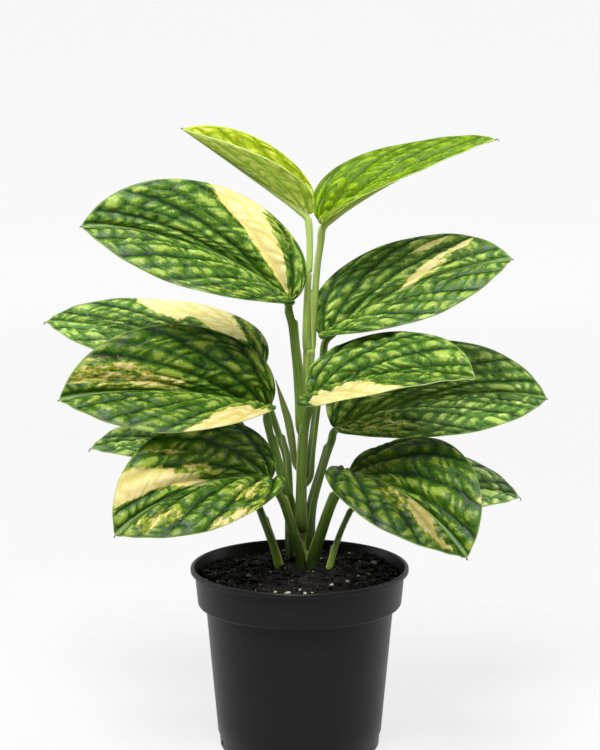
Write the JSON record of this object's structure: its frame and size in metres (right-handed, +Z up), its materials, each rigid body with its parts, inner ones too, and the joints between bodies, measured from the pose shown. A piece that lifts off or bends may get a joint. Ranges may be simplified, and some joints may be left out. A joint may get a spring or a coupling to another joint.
{
  "type": "potted monstera plant",
  "caption": "Potted monstera with entire, quilted, cream-marbled green leaves on clasping stalks, in a round black nursery pot of soil.",
  "frame": {"origin": "centre of the pot's flat underside, on the surface it stands on", "axes": "+Z up along the pot's axis; +X to the viewer's right, across the two ranks of leaves; +Y away from the viewer"},
  "size_m": [0.279, 0.1528, 0.3412],
  "materials": {
    "pot": "black injection-moulded nursery pot plastic, fine satin grain",
    "soil": "moist dark potting mix of bark and peat crumbs with white perlite grains",
    "leaf": "satin, quilted mature leaf, dark green with cream and yellow marbling",
    "young_leaf": "satin, quilted young leaf, lime green",
    "stem": "smooth satin green stem with ringed nodes",
    "sheath": "dull olive leaf sheath"
  },
  "bodies": {
    "root": {"pot": "pot", "soil": "soil", "stem": "stem", "spear": "sheath", "leaf_left_1": "young_leaf", "leaf_left_2": "leaf", "leaf_left_3": "leaf", "leaf_left_4": "leaf", "leaf_left_5": "leaf", "leaf_left_6": "leaf", "leaf_right_1": "young_leaf", "leaf_right_2": "leaf", "leaf_right_3": "leaf", "leaf_right_4": "leaf", "leaf_right_5": "leaf", "leaf_right_6": "leaf"}
  },
  "joints": []
}
